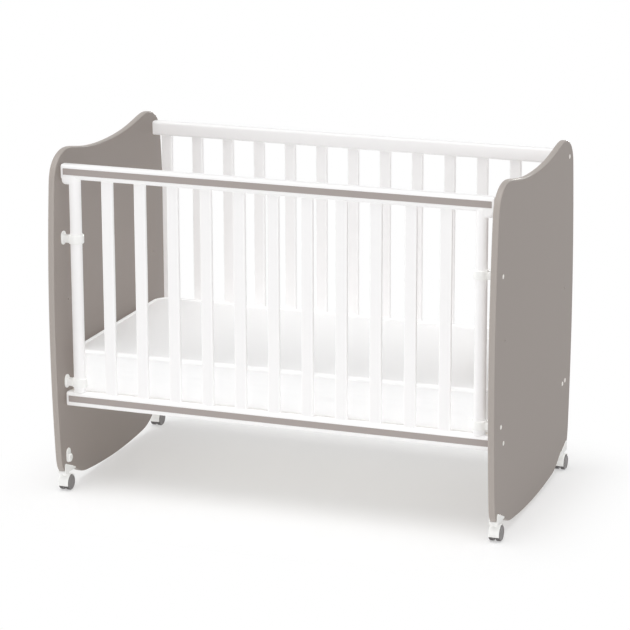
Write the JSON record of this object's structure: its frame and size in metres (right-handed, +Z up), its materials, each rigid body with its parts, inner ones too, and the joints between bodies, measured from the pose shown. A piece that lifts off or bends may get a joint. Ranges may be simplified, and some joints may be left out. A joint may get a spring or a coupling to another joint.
{
  "type": "rocking crib",
  "caption": "Slatted crib with solid side panels that end in rocker arcs, a drop side on guide poles, a mattress on a vented base and twin-wheel swivel castors.",
  "frame": {"origin": "on the floor, under the middle of the crib's outline", "axes": "+X along the length, +Z up; the drop side faces -Y"},
  "size_m": [1.2706, 0.7588, 0.9555],
  "materials": {
    "white_wood": "satin white lacquer",
    "taupe_board": "matte taupe melamine",
    "taupe_inlay": "matte taupe laminate",
    "base_board": "plain pale hardboard",
    "white_plastic": "fine matte moulding",
    "grey_wheel": "matte grey",
    "cover": "soft white cotton cover"
  },
  "bodies": {
    "frame": {"side_panel_left": "taupe_board", "drop_stop_left": "white_plastic", "upper_collar_left": "white_plastic", "lower_collar_left": "white_plastic", "side_panel_right": "taupe_board", "drop_stop_right": "white_plastic", "upper_collar_right": "white_plastic", "lower_collar_right": "white_plastic", "back_top_rail": "white_wood", "back_bottom_rail": "white_wood", "back_slat_01": "white_wood", "back_slat_02": "white_wood", "back_slat_03": "white_wood", "back_slat_04": "white_wood", "back_slat_05": "white_wood", "back_slat_06": "white_wood", "back_slat_07": "white_wood", "back_slat_08": "white_wood", "back_slat_09": "white_wood", "back_slat_10": "white_wood", "back_slat_11": "white_wood", "back_slat_12": "white_wood", "back_slat_13": "white_wood", "front_base_batten": "white_wood", "back_base_batten": "white_wood", "mattress_deck": "base_board", "mattress": "cover", "castor_saddle_front_left": "white_plastic", "castor_saddle_front_right": "white_plastic", "castor_saddle_back_left": "white_plastic", "castor_saddle_back_right": "white_plastic"},
    "drop_side": {"front_top_rail": "white_wood", "front_bottom_rail": "white_wood", "top_rail_inlay": "taupe_inlay", "bottom_rail_inlay": "taupe_inlay", "pole_left": "white_wood", "pole_right": "white_wood", "front_slat_01": "white_wood", "front_slat_02": "white_wood", "front_slat_03": "white_wood", "front_slat_04": "white_wood", "front_slat_05": "white_wood", "front_slat_06": "white_wood", "front_slat_07": "white_wood", "front_slat_08": "white_wood", "front_slat_09": "white_wood", "front_slat_10": "white_wood", "front_slat_11": "white_wood"},
    "castor_fork_front_left": {"castor_hood_front_left": "white_plastic"},
    "castor_wheel_front_left_a": {"castor_wheel_front_left_a": "grey_wheel"},
    "castor_wheel_front_left_b": {"castor_wheel_front_left_b": "grey_wheel"},
    "castor_fork_front_right": {"castor_hood_front_right": "white_plastic"},
    "castor_wheel_front_right_a": {"castor_wheel_front_right_a": "grey_wheel"},
    "castor_wheel_front_right_b": {"castor_wheel_front_right_b": "grey_wheel"},
    "castor_fork_back_left": {"castor_hood_back_left": "white_plastic"},
    "castor_wheel_back_left_a": {"castor_wheel_back_left_a": "grey_wheel"},
    "castor_wheel_back_left_b": {"castor_wheel_back_left_b": "grey_wheel"},
    "castor_fork_back_right": {"castor_hood_back_right": "white_plastic"},
    "castor_wheel_back_right_a": {"castor_wheel_back_right_a": "grey_wheel"},
    "castor_wheel_back_right_b": {"castor_wheel_back_right_b": "grey_wheel"}
  },
  "joints": [
    {"name": "drop_side_slide", "type": "slide", "parent": "frame", "child": "drop_side", "axis": [0, 0, 1], "range_m": [-0.135, 0.012]},
    {"name": "castor_swivel_front_left", "type": "hinge", "parent": "frame", "child": "castor_fork_front_left", "pos_m": [-0.619, -0.3175, 0.04], "axis": [0, 0, 1], "continuous": true},
    {"name": "wheel_spin_front_left_a", "type": "hinge", "parent": "castor_fork_front_left", "child": "castor_wheel_front_left_a", "pos_m": [-0.619, -0.3115, 0.0215], "axis": [1, 0, 0], "continuous": true},
    {"name": "wheel_spin_front_left_b", "type": "hinge", "parent": "castor_fork_front_left", "child": "castor_wheel_front_left_b", "pos_m": [-0.619, -0.3115, 0.0215], "axis": [1, 0, 0], "continuous": true},
    {"name": "castor_swivel_front_right", "type": "hinge", "parent": "frame", "child": "castor_fork_front_right", "pos_m": [0.619, -0.3175, 0.04], "axis": [0, 0, 1], "continuous": true},
    {"name": "wheel_spin_front_right_a", "type": "hinge", "parent": "castor_fork_front_right", "child": "castor_wheel_front_right_a", "pos_m": [0.619, -0.3115, 0.0215], "axis": [1, 0, 0], "continuous": true},
    {"name": "wheel_spin_front_right_b", "type": "hinge", "parent": "castor_fork_front_right", "child": "castor_wheel_front_right_b", "pos_m": [0.619, -0.3115, 0.0215], "axis": [1, 0, 0], "continuous": true},
    {"name": "castor_swivel_back_left", "type": "hinge", "parent": "frame", "child": "castor_fork_back_left", "pos_m": [-0.619, 0.3175, 0.04], "axis": [0, 0, 1], "continuous": true},
    {"name": "wheel_spin_back_left_a", "type": "hinge", "parent": "castor_fork_back_left", "child": "castor_wheel_back_left_a", "pos_m": [-0.619, 0.3235, 0.0215], "axis": [1, 0, 0], "continuous": true},
    {"name": "wheel_spin_back_left_b", "type": "hinge", "parent": "castor_fork_back_left", "child": "castor_wheel_back_left_b", "pos_m": [-0.619, 0.3235, 0.0215], "axis": [1, 0, 0], "continuous": true},
    {"name": "castor_swivel_back_right", "type": "hinge", "parent": "frame", "child": "castor_fork_back_right", "pos_m": [0.619, 0.3175, 0.04], "axis": [0, 0, 1], "continuous": true},
    {"name": "wheel_spin_back_right_a", "type": "hinge", "parent": "castor_fork_back_right", "child": "castor_wheel_back_right_a", "pos_m": [0.619, 0.3235, 0.0215], "axis": [1, 0, 0], "continuous": true},
    {"name": "wheel_spin_back_right_b", "type": "hinge", "parent": "castor_fork_back_right", "child": "castor_wheel_back_right_b", "pos_m": [0.619, 0.3235, 0.0215], "axis": [1, 0, 0], "continuous": true}
  ]
}
